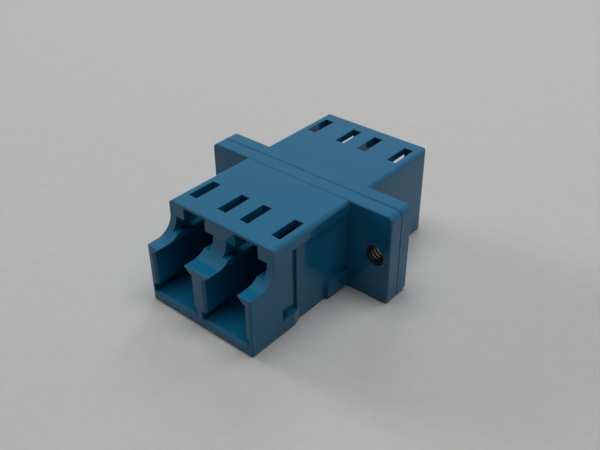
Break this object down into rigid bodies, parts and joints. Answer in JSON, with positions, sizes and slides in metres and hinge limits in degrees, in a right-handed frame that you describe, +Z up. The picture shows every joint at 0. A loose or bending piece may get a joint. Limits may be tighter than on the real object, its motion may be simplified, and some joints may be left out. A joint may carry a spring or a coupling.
{
  "type": "duplex lc fibre adapter",
  "caption": "Moulded duplex LC fibre adapter with latch windows in its roof, split sleeves inside and a screw flange for a panel.",
  "frame": {"origin": "midway between the two ear holes, on the flange face that meets the panel", "axes": "+X across the flange, +Y along the fibres towards the short flat end, +Z up towards the latch windows"},
  "size_m": [0.0216, 0.0254, 0.0093],
  "materials": {
    "housing_plastic": "smooth moulded blue, softly glossy",
    "holder_plastic": "moulded blue, satin",
    "sleeve_ceramic": "ground white zirconia",
    "bushing_metal": "dull nickel-plated brass"
  },
  "bodies": {
    "root": {"front_housing": "housing_plastic", "rear_housing": "housing_plastic", "front_sleeve_holder": "holder_plastic", "rear_sleeve_holder": "holder_plastic", "left_split_sleeve": "sleeve_ceramic", "right_split_sleeve": "sleeve_ceramic", "left_ear_bushing": "bushing_metal", "right_ear_bushing": "bushing_metal"}
  },
  "joints": []
}
